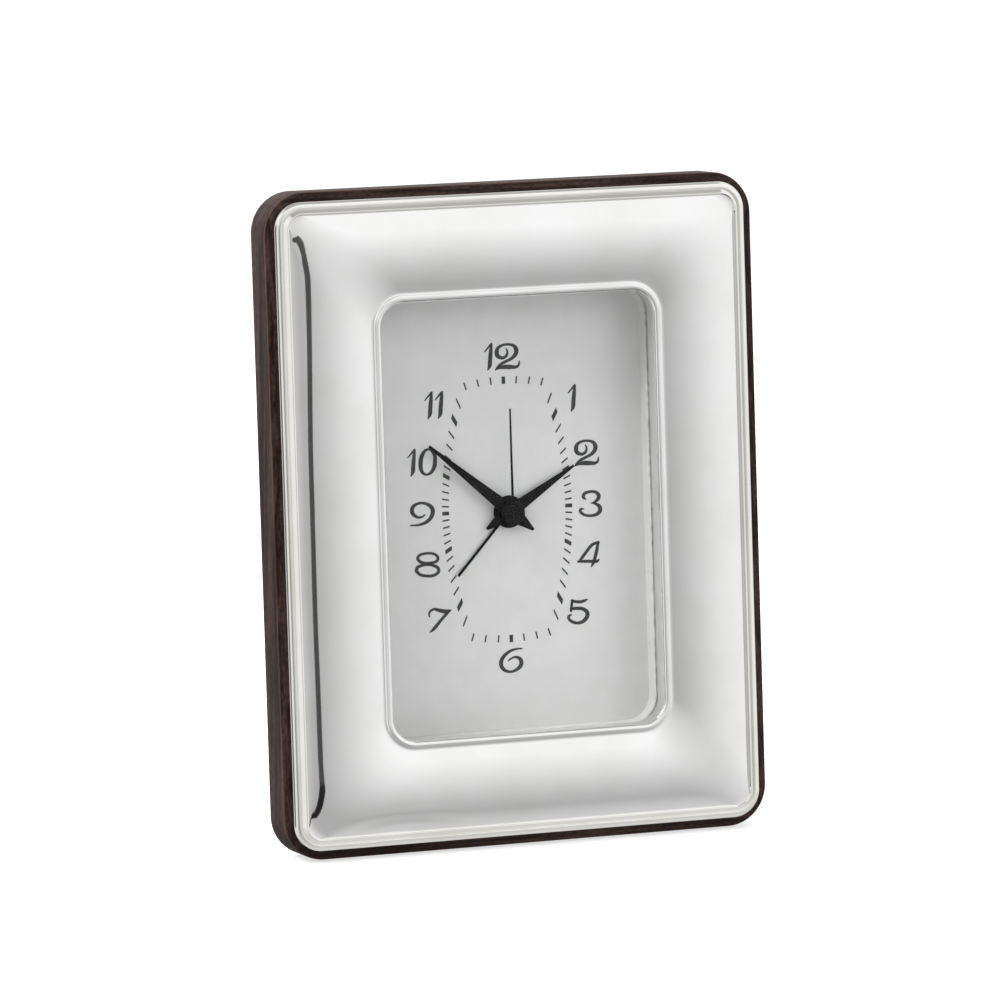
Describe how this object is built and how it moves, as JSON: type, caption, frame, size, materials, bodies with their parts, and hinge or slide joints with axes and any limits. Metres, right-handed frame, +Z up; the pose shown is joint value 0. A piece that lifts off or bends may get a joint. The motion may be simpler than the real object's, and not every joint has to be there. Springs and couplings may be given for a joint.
{
  "type": "photo frame clock",
  "caption": "Leaning table alarm clock in a wooden picture frame with a cushioned silver front, a dial behind a pane, geared hands, setting knobs and a folding support wing",
  "frame": {"origin": "middle of the flat along the frame's lower back edge, on the table", "axes": "+X to the viewer's right, +Y from the dial to the back, +Z up"},
  "size_m": [0.105, 0.0427, 0.1351],
  "materials": {
    "dark_wood": "satin varnish over fine straight grain",
    "silver": "polished",
    "core_resin": "matt",
    "pane": "clear",
    "spacer_card": "matt",
    "dial_paint": "matt, printed",
    "board_fibre": "pressed fibre board, matt",
    "hinge_brass": "satin",
    "clip_steel": "zinc plated",
    "screw_steel": "zinc plated",
    "case_plastic": "fine moulded grain",
    "knob_plastic": "fluted",
    "slide_plastic": "matt",
    "train_plastic": "moulded",
    "hand_black": "matt black",
    "stator_steel": "pressed sheet",
    "coil_copper": "enamelled wire",
    "circuit_green": "solder mask",
    "buzzer_black": "moulded",
    "cell_jacket": "printed sleeve",
    "contact_steel": "nickel plated"
  },
  "bodies": {
    "frame": {"wood_frame": "dark_wood", "silver_front": "silver", "front_core": "core_resin", "window_glass": "pane", "window_spacer": "spacer_card", "dial": "dial_paint", "dial_board": "board_fibre", "board_clips": "clip_steel", "clip_screws": "screw_steel", "movement_front": "case_plastic", "movement_back": "case_plastic", "movement_screws": "screw_steel", "train_plate": "train_plastic", "stator": "stator_steel", "coil": "coil_copper", "circuit_board": "circuit_green", "buzzer": "buzzer_black", "battery_cell": "cell_jacket", "plus_contact": "contact_steel", "minus_contact": "contact_steel", "hinge_board_leaf": "hinge_brass", "hinge_pin": "hinge_brass", "board_leaf_screws": "screw_steel"},
    "minute_work": {"minute_hand": "hand_black", "minute_pinion": "train_plastic"},
    "hour_work": {"hour_hand": "hand_black", "hour_wheel": "train_plastic"},
    "motion_work": {"motion_wheel": "train_plastic", "time_knob": "knob_plastic"},
    "alarm_work": {"alarm_hand": "hand_black", "alarm_wheel": "train_plastic"},
    "alarm_set": {"alarm_arbor": "train_plastic", "alarm_knob": "knob_plastic"},
    "seconds_work": {"seconds_hand": "hand_black", "seconds_wheel": "train_plastic"},
    "third_work": {"third_wheel": "train_plastic"},
    "centre_work": {"centre_wheel": "train_plastic"},
    "intermediate_work": {"intermediate_wheel": "train_plastic"},
    "rotor_work": {"rotor": "train_plastic"},
    "alarm_switch": {"alarm_slide": "slide_plastic"},
    "wing": {"strut_wing": "dark_wood", "hinge_wing_leaf": "hinge_brass", "wing_leaf_screws": "screw_steel"}
  },
  "joints": [
    {"name": "minute_turn", "type": "hinge", "parent": "frame", "child": "minute_work", "pos_m": [0, 0.00275, 0.06742], "axis": [0, 0.9961, -0.088], "continuous": true},
    {"name": "hour_turn", "type": "hinge", "parent": "frame", "child": "hour_work", "pos_m": [0, 0.00374, 0.06733], "axis": [0, 0.9961, -0.088], "continuous": true},
    {"name": "motion_turn", "type": "hinge", "parent": "frame", "child": "motion_work", "pos_m": [0.00902, 0.01798, 0.06937], "axis": [0, 0.9961, -0.088], "continuous": true},
    {"name": "alarm_turn", "type": "hinge", "parent": "frame", "child": "alarm_work", "pos_m": [0, 0.00424, 0.06729], "axis": [0, 0.9961, -0.088], "continuous": true},
    {"name": "alarm_set_turn", "type": "hinge", "parent": "frame", "child": "alarm_set", "pos_m": [-0.01015, 0.01801, 0.06978], "axis": [0, 0.9961, -0.088], "continuous": true},
    {"name": "seconds_turn", "type": "hinge", "parent": "frame", "child": "seconds_work", "pos_m": [0, 0.00175, 0.06751], "axis": [0, 0.9961, -0.088], "continuous": true},
    {"name": "third_turn", "type": "hinge", "parent": "frame", "child": "third_work", "pos_m": [0, 0.01631, 0.07327], "axis": [0, 0.9961, -0.088], "continuous": true},
    {"name": "centre_turn", "type": "hinge", "parent": "frame", "child": "centre_work", "pos_m": [0, 0.0137, 0.06645], "axis": [0, 0.9961, -0.088], "continuous": true},
    {"name": "intermediate_turn", "type": "hinge", "parent": "frame", "child": "intermediate_work", "pos_m": [0.00585, 0.01533, 0.0622], "axis": [0, 0.9961, -0.088], "continuous": true},
    {"name": "rotor_turn", "type": "hinge", "parent": "frame", "child": "rotor_work", "pos_m": [0.01188, 0.01524, 0.06114], "axis": [0, 0.9961, -0.088], "continuous": true},
    {"name": "alarm_slide_move", "type": "slide", "parent": "frame", "child": "alarm_switch", "axis": [1, 0, 0], "range_m": [0, 0.004]},
    {"name": "wing_fold", "type": "hinge", "parent": "frame", "child": "wing", "pos_m": [-0.00375, 0.00484, 0.02407], "axis": [0, 0.088, 0.9961], "range_deg": [0, 90]}
  ],
  "couplings": [
    {"joint": "hour_turn", "follows": "minute_turn", "ratio": 0.083333},
    {"joint": "motion_turn", "follows": "minute_turn", "ratio": -0.33333},
    {"joint": "alarm_set_turn", "follows": "alarm_turn", "ratio": -2},
    {"joint": "third_turn", "follows": "seconds_turn", "ratio": -0.13333},
    {"joint": "centre_turn", "follows": "seconds_turn", "ratio": 0.016667},
    {"joint": "intermediate_turn", "follows": "seconds_turn", "ratio": -6},
    {"joint": "rotor_turn", "follows": "seconds_turn", "ratio": 30}
  ]
}
